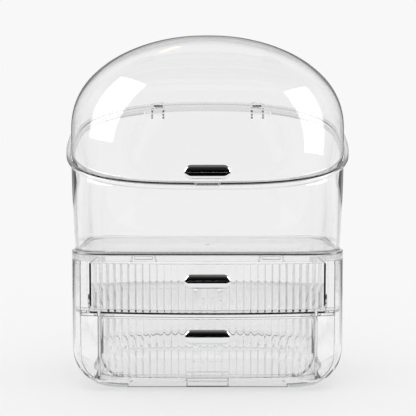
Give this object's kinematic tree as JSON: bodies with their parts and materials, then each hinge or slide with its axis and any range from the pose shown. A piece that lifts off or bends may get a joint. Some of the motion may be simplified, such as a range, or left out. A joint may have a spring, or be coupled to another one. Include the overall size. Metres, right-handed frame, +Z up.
{
  "type": "makeup organizer",
  "caption": "Clear dustproof makeup organizer: a tub under a slanted, domed lid on rear hinges, clipped on a cabinet with fluted pull-out drawers and pill-shaped pulls.",
  "frame": {"origin": "on the table, under the middle of the whole part, measured over the handles and the hinges", "axes": "+Z up, -Y to the front where the handles are, +X to the right seen from the front"},
  "size_m": [0.3024, 0.2055, 0.368],
  "materials": {
    "clear_plastic": "clear moulded polystyrene, polished",
    "chrome": "chrome-plated ABS, mirror bright",
    "silicone": "translucent soft pad, matt",
    "steel": "plain drawn steel pin"
  },
  "bodies": {
    "stand": {"foot_ring": "clear_plastic", "pad_front_left": "silicone", "pad_front_right": "silicone", "pad_back_left": "silicone", "pad_back_right": "silicone", "cabinet": "clear_plastic", "drawer_rack": "clear_plastic", "tub": "clear_plastic", "hinge_pin_left": "steel", "hinge_pin_right": "steel"},
    "lid": {"lid": "clear_plastic", "lid_handle": "chrome"},
    "upper_drawer": {"upper_drawer": "clear_plastic", "upper_drawer_handle": "chrome"},
    "lower_drawer": {"lower_drawer": "clear_plastic", "lower_drawer_handle": "chrome"}
  },
  "joints": [
    {"name": "lid_hinge", "type": "hinge", "parent": "stand", "child": "lid", "pos_m": [0, 0.09855, 0.29009], "axis": [-1, 0, 0], "range_deg": [0, 100]},
    {"name": "upper_drawer_slide", "type": "slide", "parent": "stand", "child": "upper_drawer", "axis": [0, -1, 0], "range_m": [0, 0.11]},
    {"name": "lower_drawer_slide", "type": "slide", "parent": "stand", "child": "lower_drawer", "axis": [0, -1, 0], "range_m": [0, 0.11]}
  ]
}
